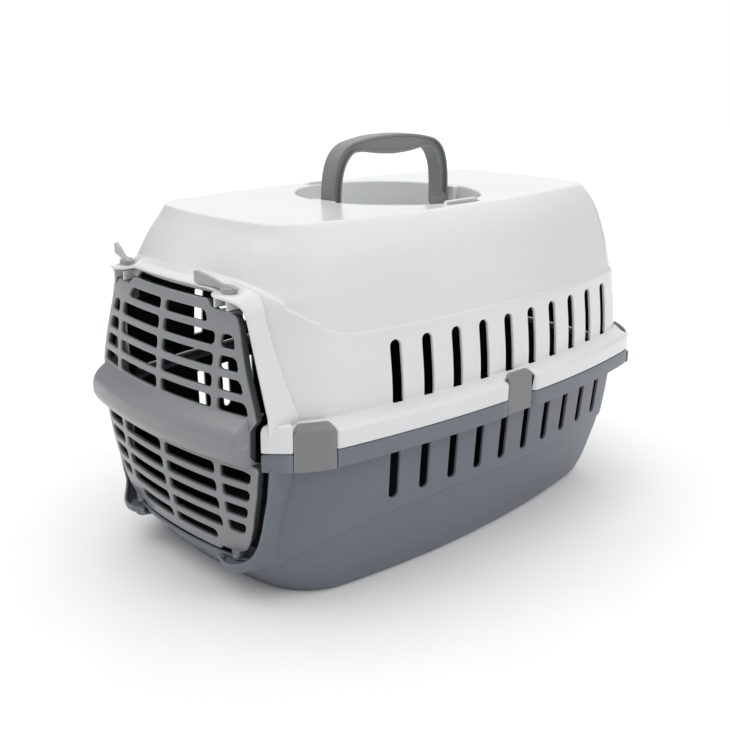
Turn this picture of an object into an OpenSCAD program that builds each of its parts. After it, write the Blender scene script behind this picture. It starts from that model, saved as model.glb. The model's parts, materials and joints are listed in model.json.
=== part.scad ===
// Pet transport carrier: two moulded shells clipped together at the rim, a bowed grille
// door on vertical pins, two quarter-turn latch levers, a folding carry handle and six
// rim clips.
// Millimetres. +X is to the right seen from the door, +Y to the rear, +Z up. The base
// stands on z = 0; the origin is on the centre line, 6 mm in front of mid-length.

/* [Body] */
// Greatest width, across the rim
rim_w = 320; // [318:1:324]
// Front of the rim line, measured from the origin (negative is towards the door)
rim_front = -237; // [-238:1:-236]
// Rear of the rim, measured from the origin
rim_rear = 258; // [256:1:260]
// Height of the joint line between the two shells
seam_z = 136; // [135:0.5:137]
// Height of the flat top panel
top_z = 296; // [294:1:298]
// Wall thickness of both shells
wall_t = 2.8; // [2.4:0.2:3.2]
// Width by which the rim stands out from the walls
rim_out = 14; // [13:0.5:15]

/* [Air slots] */
// Number of air slots in each side of each shell
slot_count = 10; // [6:1:10]
// Distance between air slots
slot_pitch = 32.3; // [31:0.1:32.5]
// Position of the front air slot
slot_first = -99; // [-101:1:-97]
// Width of an air slot in the upper shell
slot_w = 10.5; // [8:0.5:11]

/* [Door] */
// Radius of the bowed door face
door_r = 430; // [425:1:435]
// Thickness of the door panel
door_t = 4; // [3:0.5:4.5]
// Distance of the door pins and latches from the middle
pin_x = 70; // [69:0.5:71]
// Height of a grille opening
grille_h = 10; // [8:0.5:11]
// Distance between grille rows
grille_pitch = 15.9; // [15.5:0.1:16]
// Radius of the door pins and latch pins
pin_r = 2.6; // [2.4:0.1:2.8]

/* [Handle] */
// Middle of the handle, measured from the origin
handle_y = 25; // [22:1:28]
// Radius of the round well in the top panel
well_r = 85; // [84:0.5:86]
// Depth of the well
well_deep = 25; // [24:0.5:27]
// Height of the handle axis
handle_z = 284; // [283.5:0.5:284.5]
// Depth of the handle bar, across the carrier
handle_w = 16; // [14:1:18]

/* [Rim clips] */
// Width of a clip along the rim
clip_w = 33; // [30:1:34]
// Depth by which a clip is let into the rim
clip_let_in = 2.2; // [2:0.1:2.4]

/* [Hidden] */
$fn = 64;
half_w = rim_w / 2;
run_gap = 0.05;       // radial clearance of a running pin
seam_gap = 0.2;       // half the visible line between the shells
skirt_t = 4;          // thickness of the rim skirts
white_edge_z = seam_z + 15;
flange_z = seam_z + 21;
grey_edge_z = seam_z - 14.6;
door_c = [0, door_r - 231.6, 143.5];   // centre of the ball the door face lies on
pin_y = -210;
lip_y = -209.5;       // front edge of the doorway lip
lug_z = [242, 248];
post_top = 245;       // top of the door posts inside the lugs
floor_t = 3;
shell_white = [0.87, 0.88, 0.88];
shell_grey = [0.42, 0.44, 0.47];
door_grey = [0.54, 0.56, 0.57];
trim_grey = [0.50, 0.51, 0.51];
lever_grey = [0.60, 0.61, 0.61];

// ---- plan outlines: every level is a bowed rectangle made of arcs ----
// One quadrant runs from (w, 0) to (0, l): side arc, corner arc of radius r, end arc.
side_turn = 10;       // degrees the side arc turns
end_turn = [12, 8];   // degrees the front and the rear arc turn
function side_radius(w, l, r, b) =
    let (a = side_turn, k = tan(b / 2))
    (l + r * sin(a) - r * cos(b) - k * (w - r * cos(a) + r * sin(b)))
        / (sin(a) - k * (1 - cos(a)));
function corner_centre(w, l, r, b) =
    let (s = side_radius(w, l, r, b), a = side_turn)
    [w - s * (1 - cos(a)) - r * cos(a), (s - r) * sin(a)];
function on_quadrant(w, l, r, b, t) =
    let (s = side_radius(w, l, r, b), c = corner_centre(w, l, r, b),
         e = (c[0] + r * sin(b)) / sin(b))
    t <= side_turn ? [w - s + s * cos(t), s * sin(t)]
    : t <= 90 - b ? c + r * [cos(t), sin(t)]
    : [e * cos(t), c[1] + r * cos(b) + e * (sin(t) - cos(b))];
function turn_steps(b) =
    [for (t = [0:side_turn / 3:side_turn - 0.1]) t,
     for (i = [0:4]) side_turn + (90 - b - side_turn) * i / 5,
     for (i = [0:3]) 90 - b + b * i / 3];
function quadrant(w, l, r, b) = [for (t = turn_steps(b)) on_quadrant(w, l, r, b, t)];
// A level is [z, side inset, widest y, front inset, rear inset, front radius, rear radius].
function level_points(v, inset = 0) =
    let (w = half_w - v[1] - inset,
         q = quadrant(w, rim_rear - v[4] - inset - v[2], v[6] - inset, end_turn[1]),
         p = quadrant(w, v[2] - rim_front - v[3] - inset, v[5] - inset, end_turn[0]),
         m = len(q) - 1)
    [for (i = [0:m - 1]) [q[i][0], v[2] + q[i][1], v[0]],
     for (i = [m:-1:1]) [-q[i][0], v[2] + q[i][1], v[0]],
     for (i = [0:m - 1]) [-p[i][0], v[2] - p[i][1], v[0]],
     for (i = [m:-1:1]) [p[i][0], v[2] - p[i][1], v[0]]];
function at_z(v, z) = [z, v[1], v[2], v[3], v[4], v[5], v[6]];

// A thin-walled moulding: its skin passes through the rings in turn, first and last capped.
module skin(rings) {
    n = len(rings[0]);
    last = len(rings) - 1;
    polyhedron(
        points = [for (r = rings) each r],
        faces = concat(
            [[for (i = [0:n - 1]) i]],
            [for (j = [0:last - 1], i = [0:n - 1], half = [0, 1])
                let (a = j * n + i, b = j * n + (i + 1) % n, c = a + n, d = b + n)
                half == 0 ? [a, c, d] : [a, d, b]],
            [[for (i = [n - 1:-1:0]) last * n + i]]),
        convexity = 6);
}

rim = [0, 0, 60, 0, 0, 90, 38];
base_levels = [
    [0, 33, 15, 47, 44, 55, 28],
    [5, 29, 15, 43, 40, 58, 28],
    [18, 26, 20, 31, 31, 64, 28],
    [36, 23.4, 30, 18, 25, 72, 28],
    [62, 20.4, 45, 13, 17.5, 78, 28],
    [64, 18.6, 46, 11.4, 15.5, 79, 28],
    [90, 17, 50, 10, 11.5, 81, 28],
    [grey_edge_z, 15.4, 56, 9.5, 10, 82, 30]];
roof_levels = [
    [flange_z, rim_out, 56, 10, 10, 82, 34],
    [206, 19, 52, 14, 12, 76, 34],
    [240, 27, 45, 22, 13, 66, 38],
    [254, 31.5, 40, 31, 15, 60, 37],
    [275, 41, 30, 44, 18, 50, 33],
    [top_z - 7, 51, 22, 53, 21, 44, 31],
    [top_z, 58, 18, 56, 23, 38, 30]];

module base_skin() {
    outer = [for (v = base_levels) level_points(v)];
    inner = [for (i = [len(base_levels) - 1:-1:1])
                level_points(at_z(base_levels[i], i == 1 ? floor_t : base_levels[i][0]), wall_t)];
    top = base_levels[len(base_levels) - 1];
    rim_under = seam_z - seam_gap - 4;
    skin(concat(outer,
        [level_points(at_z(top, rim_under)),
         level_points(at_z(rim, rim_under), skirt_t),
         level_points(at_z(rim, grey_edge_z), skirt_t),
         level_points(at_z(rim, grey_edge_z)),
         level_points(at_z(rim, seam_z - seam_gap)),
         level_points(at_z(top, seam_z - seam_gap), wall_t)],
        inner));
}

module roof_skin() {
    wall_low = roof_levels[0];
    n = len(roof_levels) - 1;
    inner = [for (i = [n:-1:0])
                level_points(at_z(roof_levels[i], roof_levels[i][0] - (i == n ? wall_t : i == 0 ? 3.4 : 0)),
                             wall_t)];
    skin(concat(inner,
        [level_points(at_z(rim, white_edge_z - 3), skirt_t),
         level_points(at_z(rim, seam_z + seam_gap), skirt_t),
         level_points(at_z(rim, seam_z + seam_gap)),
         level_points(at_z(rim, white_edge_z))],
        [for (v = roof_levels) level_points(v)]));
}

// ---- front opening and door outline, seen from the front as [x, z] ----
function mirrored(side) = concat(side, [for (i = [len(side) - 1:-1:0]) [-side[i][0], side[i][1]]]);
function door_outline(d) = mirrored([
    [54, 38 + d], [57, 42 + d], [75, 42 + d], [84 - d, 47 + d], [89 - d, 55], [95 - d, 70],
    [103 - d, 99], [107 - d, 123.5 - d], [100 - d, 126], [100.5 - d, 153], [106.5 - d, 161 + d],
    [104 - d, 171], [95.5 - d, 195.5], [85.5 - d, 228 - d], [82 - d, 235 - d], [75, 238 - d],
    [57, 238 - d], [50, 244 - d]]);
opening_outline = mirrored([
    [86, 36], [93, 52], [99, 70], [106, 99], [109, 121], [109, 163], [98.5, 197],
    [88.5, 230], [84, lug_z[0]], [54, lug_z[0]], [54, 247]]);
// Lip that brings the doorway's edge forward to the door, between two heights.
module doorway_lip(z0, z1)
    intersection() {
        translate([0, lip_y + 20, 0]) rotate([90, 0, 0]) linear_extrude(20)
            difference() {
                offset(delta = 3) polygon(opening_outline);
                offset(delta = 0.01) polygon(opening_outline);
            }
        for (side = [-1, 1]) translate([side * 101 - 15, -260, z0]) cube([30, 100, z1 - z0]);
    }
module front_cut(outline, y0, y1)
    translate([0, y1, 0]) rotate([90, 0, 0]) linear_extrude(y1 - y0) polygon(outline);

// ---- air slots through one side wall ----
module air_slots(z_low, z_high, w, round_low, round_high) {
    for (i = [0:slot_count - 1], side = [-1, 1]) {
        y = slot_first + i * slot_pitch;
        low = z_low + (round_low ? w / 2 : 0);
        high = z_high - (round_high ? w / 2 : 0);
        translate([side * 145 - 15, y - w / 2, low]) cube([30, w, high - low]);
        if (round_low) translate([side * 145 - 15, y, low]) rotate([0, 90, 0]) cylinder(d = w, h = 30);
        if (round_high) translate([side * 145 - 15, y, high]) rotate([0, 90, 0]) cylinder(d = w, h = 30);
    }
}

// ---- rim clip places: [side, turn of the outward normal, rear half] ----
clip_places = [[1, 27, false], [1, 1.25, false], [1, 58, true]];
clip_axis_u = -6.6;
clip_axis_z = grey_edge_z + 1.1;
clip_bead_r = 2;
ear_t = 3;
function clip_point(turn, rear) =
    let (l = rear ? rim_rear - rim[2] : rim[2] - rim_front,
         p = on_quadrant(half_w, l, rear ? rim[6] : rim[5], end_turn[rear ? 1 : 0], turn))
    [p[0], rim[2] + (rear ? 1 : -1) * p[1]];
// Local frame on the rim: x outwards, y along the rim, z up.
module on_rim(place, side) {
    p = clip_point(place[1], place[2]);
    mirror([side < 0 ? 1 : 0, 0, 0])
        translate([p[0], p[1], 0])
            rotate([0, 0, (place[2] ? 1 : -1) * place[1]]) children();
}
module all_clips() for (place = clip_places, side = [-1, 1]) on_rim(place, side) children();

module clip_recess()
    translate([-clip_let_in, -clip_w / 2 - 0.4, grey_edge_z - 2])
        cube([clip_let_in + 4, clip_w + 0.8, white_edge_z + 1.5 - grey_edge_z + 2]);
module clip_bead_room()
    translate([clip_axis_u, 0, clip_axis_z]) rotate([90, 0, 0])
        cylinder(r = clip_bead_r + 0.4, h = clip_w + 2 * ear_t + 4, center = true);
// Pair of ears under the rim that hold the ends of a clip's bead.
module clip_ears()
    for (end = [-1, 1])
        translate([0, end * (clip_w / 2 + 0.4 + ear_t / 2), 0]) rotate([90, 0, 0])
            linear_extrude(ear_t, center = true)
                difference() {
                    polygon([[-16, seam_z - 3], [-16, clip_axis_z - 9], [clip_axis_u - 3, clip_axis_z - 3.4],
                             [-3.2, clip_axis_z - 1], [-3.2, seam_z - 3]]);
                    translate([clip_axis_u, clip_axis_z]) circle(r = clip_bead_r + run_gap);
                }

module rim_clip(place, side) on_rim(place, side) color(trim_grey) {
    hook = 9;                                       // reach of the hook over the rim
    slope = (flange_z - white_edge_z) / (place[2] ? 0.72 * rim_out : rim_out);  // fall of the rim top
    inner = -clip_let_in + 0.25;
    outer = inner + 2.2;
    rotate([90, 0, 0]) linear_extrude(clip_w, center = true)
        polygon([[clip_axis_u, grey_edge_z - 0.2], [inner, grey_edge_z - 0.2],
                 [inner, white_edge_z - inner * slope + 0.3], [-hook, white_edge_z + hook * slope + 0.3],
                 [-hook, white_edge_z + hook * slope + 2.8], [outer - 2, white_edge_z + 3.2],
                 [outer, white_edge_z + 1], [outer, grey_edge_z - 2.2], [outer - 0.9, grey_edge_z - 3.1],
                 [clip_axis_u, grey_edge_z - 3.1]]);
    translate([clip_axis_u, 0, clip_axis_z]) rotate([90, 0, 0])
        cylinder(r = clip_bead_r, h = clip_w + 2 * ear_t + 0.4, center = true);
}

// ---- lower shell ----
// Slot through which a door post leaves its socket as the door swings.
module way_out(h) translate([-pin_r - 1, -20, 0]) cube([2 * pin_r + 1.4, 20, h]);
module pin_socket() {
    // Ledge and round boss that carry a door post at one front corner.
    translate([-13, -9, 29]) cube([26, 30, 5]);
    translate([0, 0, 29]) cylinder(r = 9, h = 5);
    translate([0, 0, 20]) cylinder(r = 7, h = 14);
}
module pin_bore(open_front) {
    translate([0, 0, 22]) cylinder(r = pin_r + run_gap, h = 20);
    translate([0, 0, 34.2]) cylinder(r = 5.2, h = 8);
    if (open_front) {
        translate([0, 0, 22]) way_out(20);
        translate([-6, -20, 34.2]) cube([11.4, 20, 8]);
    }
}
module lower_shell() color(shell_grey) {
    difference() {
        union() {
            difference() {
                base_skin();
                front_cut(opening_outline, -280, -165);
                air_slots(73, 119, slot_w - 1, true, false);
                all_clips() clip_recess();
                all_clips() clip_bead_room();
            }
            for (side = [-1, 1]) translate([side * pin_x, pin_y, 0]) pin_socket();
            doorway_lip(42, grey_edge_z + 8);
        }
        for (side = [-1, 1]) translate([side * pin_x, pin_y, 0]) pin_bore(side > 0);
    }
    all_clips() clip_ears();
}

// ---- upper shell ----
well_floor = top_z - well_deep;
cheek_y = 77.3;       // distance of the pivot cheeks from the middle of the handle
pivot_r = 4;
module well_cup() {
    translate([0, handle_y, well_floor - wall_t]) cylinder(r = well_r + wall_t, h = well_deep + wall_t, $fn = 96);
}
module well_room() {
    translate([0, handle_y, well_floor]) cylinder(r = well_r, h = well_deep + 5, $fn = 96);
}
module latch_lug(open_front) {
    // Plate at a top corner of the doorway. The door post comes up into its bore from below
    // and the latch pin down into it from above.
    difference() {
        union() {
            translate([0, 0, lug_z[0]]) cylinder(r = 12, h = lug_z[1] - lug_z[0]);
            translate([-14, 0, lug_z[0]]) cube([28, 22, lug_z[1] - lug_z[0]]);
        }
        translate([0, 0, lug_z[0] - 1]) cylinder(r = pin_r + run_gap, h = 10);
        if (open_front) translate([0, 0, lug_z[0] - 1]) way_out(post_top + 0.2 - lug_z[0] + 1);
    }
}
module upper_shell() color(shell_white) {
    difference() {
        union() {
            roof_skin();
            well_cup();
            // shelf over the doorway
            intersection() {
                translate([0, door_c[1], 247]) cylinder(r = door_r - 16, h = 5, $fn = 240);
                translate([-84, -225, 247]) cube([168, 24, 5]);
            }
        }
        well_room();
        front_cut(opening_outline, -280, -165);
        air_slots(flange_z, 206.5, slot_w, false, true);
        all_clips() clip_recess();
        for (side = [-1, 1]) {
            // finger slot beside the well
            translate([side * 90 - 4, handle_y - 22, top_z - 10]) cube([8, 44, 20]);
            // room for the latch hub
            translate([side * pin_x, pin_y, lug_z[0]]) cylinder(r = 8, h = 17);
        }
    }
    doorway_lip(flange_z - 8, lug_z[0] + 2);
    for (side = [-1, 1]) translate([side * pin_x, pin_y, 0]) latch_lug(side > 0);
    // cheeks that hold the handle pivots
    for (end = [-1, 1]) difference() {
        intersection() {
            translate([-14, handle_y + (end > 0 ? cheek_y : -well_r - 1), well_floor - 1])
                cube([28, well_r + 1 - cheek_y, top_z - well_floor + 1]);
            well_cup();
        }
        translate([0, handle_y + end * cheek_y, handle_z]) rotate([90, 0, 0])
            cylinder(r = pivot_r + run_gap, h = 12, center = true);
    }
}

// ---- door ----
module ball_layer(depth) difference() {
    translate(door_c) sphere(r = door_r, $fn = 240);
    translate(door_c) sphere(r = door_r - depth, $fn = 240);
}
module grille_slot(x0, x1, z) translate([x0, -250, z]) rotate([-90, 0, 0]) {
    r = 3;
    linear_extrude(60) {
        translate([r, -grille_h / 2]) square([x1 - x0 - 2 * r, grille_h]);
        translate([0, -grille_h / 2 + r]) square([x1 - x0, grille_h - 2 * r]);
        for (x = [r, x1 - x0 - r], y = [-1, 1]) translate([x, y * (grille_h / 2 - r)]) circle(r = r, $fn = 24);
    }
}
inner_end = 63.5;     // outer end of the wide grille openings
outer_start = 70;     // inner end of the short grille openings
grille_border = 6;    // width of the door's border beside the short openings
module grille() {
    // rows count away from the bumper band; the fifth row has no short openings
    short_end = [99, 97, 92, 86];
    for (low = [0, 1], row = [0:4], side = [0, 1]) mirror([side, 0, 0]) {
        z = low == 1 ? 115 - row * grille_pitch : 168.8 + row * grille_pitch;
        grille_slot(3, row < 4 ? inner_end : 54, z);
        if (row < 4) intersection() {
            grille_slot(outer_start, short_end[row], z);
            front_cut(door_outline(grille_border), -260, -180);
        }
    }
}
// The band follows the bow of the door, so it is turned about the door's vertical axis.
module band() {
    outside = [[428, 124], [436, 125], [441, 129], [444, 137], [444, 146], [441, 153], [436, 158], [428, 161]];
    inside = [[425, 158], [434, 155], [438, 151], [441, 145], [441, 138], [438, 131.5], [434, 128], [425, 127]];
    intersection() {
        translate([0, door_c[1], 0]) rotate_extrude($fn = 240) polygon(concat(outside, inside));
        translate([-100, -260, 110]) cube([200, 80, 70]);
    }
}
module pin_block() {
    // Block behind a top corner of the door, with the post that turns in the lug above it.
    translate([-7, -4.8, 222]) cube([14, 10.8, 15.9]);
    translate([0, 0, 230]) cylinder(r = pin_r, h = post_top - 230);
}
module door() color(door_grey) {
    difference() {
        union() {
            intersection() {
                ball_layer(door_t);
                front_cut(door_outline(0), -250, -190);
            }
            intersection() {
                ball_layer(9);
                difference() {
                    front_cut(door_outline(0), -250, -190);
                    front_cut(door_outline(2.6), -260, -180);
                }
            }
        }
        grille();
        translate([-96, -260, 127]) cube([192, 80, 31]);
    }
    band();
    for (side = [-1, 1]) translate([side * pin_x, pin_y, 0]) {
        pin_block();
        translate([0, 0, 25]) cylinder(r = pin_r, h = 25);
        translate([0, 0, 34.6]) cylinder(r = 4.5, h = 3);
        translate([-5, -3.2, 37.6]) cube([10, 7.2, 12]);
    }
}

// ---- latch levers ----
// The lever's pin ends just above the door post.
module latch_lever(turn) color(lever_grey) {
    translate([0, 0, post_top + 0.4]) cylinder(r = pin_r, h = lug_z[1] + 0.6 - post_top);
    translate([0, 0, lug_z[1] + 0.2]) {
        cylinder(r = 6.5, h = 6.3);
        cylinder(r = 4.5, h = 7.4);
        rotate([0, 0, turn]) rotate([90, 0, 0]) linear_extrude(3.4, center = true)
            polygon([[-10.2, 4.2], [-10.2, 6], [0, 8], [8, 8], [22, 13], [35, 16], [35, 4.8], [0, 4.2]]);
    }
}
module lever_at(side, turn) translate([side * pin_x, pin_y, 0]) latch_lever(turn);

// ---- handle ----
// The arch seen from the side, as [y, height over the pivot]; inset keeps clear of the edge.
grip_top = 64.5;      // height of the grip over the pivot
grip_under = 47;      // height of its underside, at its lowest
leg_out = 76;         // outer face of the legs
function arch_side(inset) =
    [[leg_out - inset, 0], [leg_out - inset, 30],
     for (a = [0:15:75]) [49.5 + (22 - inset) * cos(a), 40 + (19 - inset) * sin(a)]];
function arch_top(inset) = [for (t = [1:-0.25:0]) [42 * t, grip_top - inset - 4 * t * t]];
function under_side(inset) = [[65 + inset, 0], [63.5 + inset, 28], [58 + inset, 43], [48, 51.5 + inset]];
function under_grip() = [for (t = [0.75:-0.25:0]) [48 * t, 51.5 - (51.5 - grip_under) * (1 - t * t)]];
function both_ways(side) =
    concat(side, [for (i = [len(side) - 1:-1:0]) if (side[i][0] > 0) [-side[i][0], side[i][1]]]);
module arch_shape() difference() {
    polygon(both_ways(concat(arch_side(0), arch_top(0))));
    translate([0, -0.01]) polygon(both_ways(concat(under_side(0), under_grip())));
}
// Groove between the two flanges of the bar; its lower edge is straight over the grip.
module groove_shape() difference() {
    polygon(both_ways(concat(arch_side(3), arch_top(3))));
    polygon(both_ways(under_side(3)));
    translate([-leg_out, -1]) square([2 * leg_out, 9]);
}
module handle() color(trim_grey) translate([0, handle_y, handle_z]) {
    difference() {
        rotate([90, 0, 90]) linear_extrude(handle_w, center = true) arch_shape();
        for (side = [-1, 1]) translate([side * handle_w / 2, 0, 0]) rotate([90, 0, 90])
            linear_extrude(9, center = true) groove_shape();
    }
    for (end = [-1, 1]) {
        translate([0, end * 70.5, 0]) rotate([90, 0, 0]) cylinder(d = handle_w, h = 11, center = true);
        translate([0, end * (cheek_y + 1), 0]) rotate([90, 0, 0])
            cylinder(r = pivot_r, h = 8, center = true);
    }
}

lower_shell();
upper_shell();
door();
handle();
lever_at(-1, 163);  // latch_lever_left
lever_at(1, 189);  // latch_lever_right
rim_clip(clip_places[0], 1);  // clip_front_right
rim_clip(clip_places[1], 1);  // clip_mid_right
rim_clip(clip_places[2], 1);  // clip_rear_right
rim_clip(clip_places[0], -1);  // clip_front_left
rim_clip(clip_places[1], -1);  // clip_mid_left
rim_clip(clip_places[2], -1);  // clip_rear_left
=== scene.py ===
"""Looks for the pet transport carrier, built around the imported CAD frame."""
import json
import math

import bmesh
import bpy
import numpy as np
from mathutils import Matrix, Vector


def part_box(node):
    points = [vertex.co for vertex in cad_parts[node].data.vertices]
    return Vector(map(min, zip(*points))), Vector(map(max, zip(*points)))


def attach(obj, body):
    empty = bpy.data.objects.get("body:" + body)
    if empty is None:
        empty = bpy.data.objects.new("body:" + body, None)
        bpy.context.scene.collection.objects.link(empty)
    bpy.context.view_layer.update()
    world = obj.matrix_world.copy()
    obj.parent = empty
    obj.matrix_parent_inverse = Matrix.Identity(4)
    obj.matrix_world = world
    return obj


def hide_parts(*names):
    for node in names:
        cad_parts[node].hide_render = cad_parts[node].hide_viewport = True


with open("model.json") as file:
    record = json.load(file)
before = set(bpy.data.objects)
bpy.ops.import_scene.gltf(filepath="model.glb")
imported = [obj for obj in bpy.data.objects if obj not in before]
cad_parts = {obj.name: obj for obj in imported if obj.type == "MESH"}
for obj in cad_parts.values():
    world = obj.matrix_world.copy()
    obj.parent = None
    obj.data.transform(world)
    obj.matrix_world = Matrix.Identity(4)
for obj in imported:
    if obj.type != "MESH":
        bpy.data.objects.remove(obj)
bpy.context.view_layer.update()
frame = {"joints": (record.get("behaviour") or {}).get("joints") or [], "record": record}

MM = 0.001
JOINTS = {j["name"]: j for j in frame["joints"]}
SLOT_OF = {part["node"]: part["material_slot"] for part in frame["record"]["subparts"]}
BODY_OF = {node: body for body, nodes in frame["record"]["behaviour"]["bodies"].items()
           for node in nodes}


# ---- sizes, in millimetres
HALF_W = 160.0
RIM_FRONT, RIM_REAR = -237.0, 258.0
TOP = float(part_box("upper_shell")[1][2]) / MM
WALL = 2.8                            # thickness of the shells
BEAD = 1.5                            # how far the moulded bands stand proud of the wall
PIN_X, PIN_Y, PIN_R = 70.0, -210.0, 2.6  # the door's pins
BALL = np.array([0.0, 198.4, 143.5])  # middle of the ball the door's face is cut from
BALL_R = 430.0
HANDLE_Y, HANDLE_Z = 25.0, 284.0      # the handle's pivot
WELL_R, WELL_FLOOR = 85.0, TOP - 25.0
LIP_Y = -209.5                        # front edge of the doorway's collar at the sides
RIM_EDGE, BLOCK_EDGE = 109.3, 106.3   # |x| at which the lower rim and the corner blocks end
SLOT_Y = -99 + 32.3 * np.arange(10)
UPPER_SLOT = (10.5, 157, 206.5)       # an air slot's width, lowest and highest z
LOWER_SLOT = (9.5, 73, 119)
PIVOT_IN, PIVOT_Z = 6.6, 122.5        # a clip's pivot: how far behind the rim's face, and z
CLIP_HALF = 16.9                      # half the gap in the rim that a clip lies in
PLATE_HALF, BEAD_HALF = 16.5, 19.7
EAR_AT, EAR_HALF = 18.4, 1.5
CLIP_RECESS = 4.8                     # depth of the gap at the middle and rear clips
RIM_FOOT, RIM_SEAM = 121.4, 135.7     # lowest z of the rim, and of the seam in it
LEDGE_Z = 157.0                       # where the upper wall turns out to the rim
SIDES = (("left", -1), ("right", 1))
FAR = 1e3                             # stands for "nowhere near" where a distance is asked for


# ---- plan outlines
def plan(tau, v, inset=0.0):
    """Point of a bowed-rectangle outline. tau runs from -90 (front) over 0 (+X side) to 90
    (rear) and on to 270 for the -X half. v is side inset, middle, front, rear, two radii."""
    left = tau > 90.0
    t = np.where(left, 180.0 - tau, tau)
    rear = t > 0
    t = np.radians(np.abs(t))
    side, mid, front, back, r_front, r_back = v
    w = HALF_W - side - inset
    b = np.radians(np.where(rear, 8.0, 12.0))
    l = np.where(rear, RIM_REAR - back - inset - mid, mid - RIM_FRONT - front - inset)
    r = np.where(rear, r_back, r_front) - inset
    a = math.radians(10.0)
    k = np.tan(b / 2)
    s = ((l + r * math.sin(a) - r * np.cos(b) - k * (w - r * math.cos(a) + r * np.sin(b)))
         / (math.sin(a) - k * (1 - math.cos(a))))
    cx = w - s * (1 - math.cos(a)) - r * math.cos(a)
    cy = (s - r) * math.sin(a)
    e = (cx + r * np.sin(b)) / np.sin(b)
    end = t > math.pi / 2 - b
    x = np.where(t <= a, w - s + s * np.cos(t), np.where(end, e * np.cos(t), cx + r * np.cos(t)))
    y_end = cy + r * np.cos(b) + e * (np.sin(t) - np.cos(b))
    y = np.where(t <= a, s * np.sin(t), np.where(end, y_end, cy + r * np.sin(t)))
    return np.where(left, -x, x), mid + np.where(rear, y, -y)


def arc_length(*coords):
    """Distance along a polyline at each of its points."""
    return np.concatenate([[0], np.cumsum(np.linalg.norm(np.diff(coords, axis=1), axis=0))])


def smooth_curve(xs, ys, x):
    """Monotone cubic through the points (xs, ys), evaluated at x."""
    xs, ys = np.asarray(xs, float), np.asarray(ys, float)
    h = np.diff(xs)
    d = np.diff(ys) / h
    m = np.empty_like(ys)
    m[0], m[-1] = d[0], d[-1]
    inner = d[:-1] * d[1:] > 0
    m[1:-1] = np.where(inner, 2 * d[:-1] * d[1:] / np.where(inner, d[:-1] + d[1:], 1), 0)
    x = np.clip(x, xs[0], xs[-1])
    i = np.clip(np.searchsorted(xs, x) - 1, 0, len(h) - 1)
    t = (x - xs[i]) / h[i]
    return ((1 + 2 * t) * (1 - t) ** 2 * ys[i] + t * (1 - t) ** 2 * h[i] * m[i]
            + t * t * (3 - 2 * t) * ys[i + 1] + t * t * (t - 1) * h[i] * m[i + 1])


RIM = (0.0, 60.0, 0.0, 0.0, 90.0, 38.0)
# rows: z, side inset, widest y, front inset, rear inset, front radius, rear radius
BASE = np.array([
    [0, 33, 15, 47, 44, 55, 28], [5, 29, 15, 43, 40, 58, 28], [18, 26, 20, 31, 31, 64, 28],
    [36, 23.4, 30, 18, 25, 72, 28], [62, 20.4, 45, 13, 17.5, 78, 28],
    [90, 18.7, 50, 11.7, 13.2, 81, 28], [121.4, 17.1, 56, 11.2, 11.7, 82, 30],
    [134, 17.1, 56, 11.2, 11.7, 82, 30]])
ROOF = np.array([
    [150, 15.4, 56, 11.4, 11.4, 82, 34], [157, 15.4, 56, 11.4, 11.4, 82, 34],
    [206, 20.4, 52, 15.4, 13.4, 76, 34], [240, 27, 45, 22, 13.6, 66, 38],
    [254, 31.5, 40, 31, 15, 60, 37], [275, 41, 30, 44, 18, 50, 33],
    [289, 51, 22, 53, 21, 44, 31], [296, 58, 18, 56, 23, 38, 30]])


def level(table, z):
    return [smooth_curve(table[:, 0], table[:, i], z) for i in range(1, 7)]


# ---- clip places on the rim
def local_frames():
    """name, point on the rim, outward normal, for each of the six clips."""
    out = []
    for name, j in JOINTS.items():
        if not name.startswith("clip"):
            continue
        axis = np.array(j["axis"], float)
        pos = np.array(j["pos_m"], float) / MM
        normal = np.cross(axis, [0, 0, 1])
        out.append((j["child"], pos + PIVOT_IN * normal * [1, 1, 0], normal))
    return out


CLIPS = local_frames()


def from_clip(clip, x, y):
    """Distance along the rim from a clip's gap, negative inside it; FAR away from the rim."""
    _, p, n = clip
    dx, dy = x - p[0], y - p[1]
    near = np.abs(dx * n[0] + dy * n[1]) < 22
    return np.where(near, np.abs(dy * n[0] - dx * n[1]) - CLIP_HALF, FAR)


def columns(spacing):
    """tau values round the rim, close to even spacing, with extra ones at the clip edges."""
    dense = np.linspace(-90, 90, 7201)
    x, y = plan(dense, RIM)
    arc = arc_length(x, y)
    n = int(round(arc[-1] / spacing))
    keep = list(np.linspace(0, arc[-1], n + 1))
    fixed = []
    d = np.min([from_clip(clip, x, y) for clip in CLIPS], axis=0)
    for mark in (-0.15, 0.15, 1.0, 2.4, 4.2, 6.5):
        hit = np.nonzero(np.diff(np.sign(d - mark)))[0]
        fixed += [arc[i] for i in hit]
    keep = [a for a in keep if min(abs(a - f) for f in fixed) > 1.1 or a in (0, arc[-1])]
    right = np.interp(sorted(keep + fixed), arc, dense)
    return np.concatenate([right, 180 - right[-2:0:-1]])


# ---- distances in the plane
def polygon_distance(px, pz, poly):
    """Signed distance to a closed polygon, negative inside."""
    poly = np.asarray(poly, float)
    best = np.full(px.shape, 1e9)
    inside = np.zeros(px.shape, bool)
    for (x0, z0), (x1, z1) in zip(poly, np.roll(poly, -1, axis=0)):
        ex, ez = x1 - x0, z1 - z0
        t = np.clip(((px - x0) * ex + (pz - z0) * ez) / (ex * ex + ez * ez), 0, 1)
        best = np.minimum(best, np.hypot(px - x0 - t * ex, pz - z0 - t * ez))
        crosses = (z0 > pz) != (z1 > pz)
        if z1 != z0:
            inside ^= crosses & (px < (x1 - x0) * (pz - z0) / (z1 - z0) + x0)
    return np.where(inside, -best, best)


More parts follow.
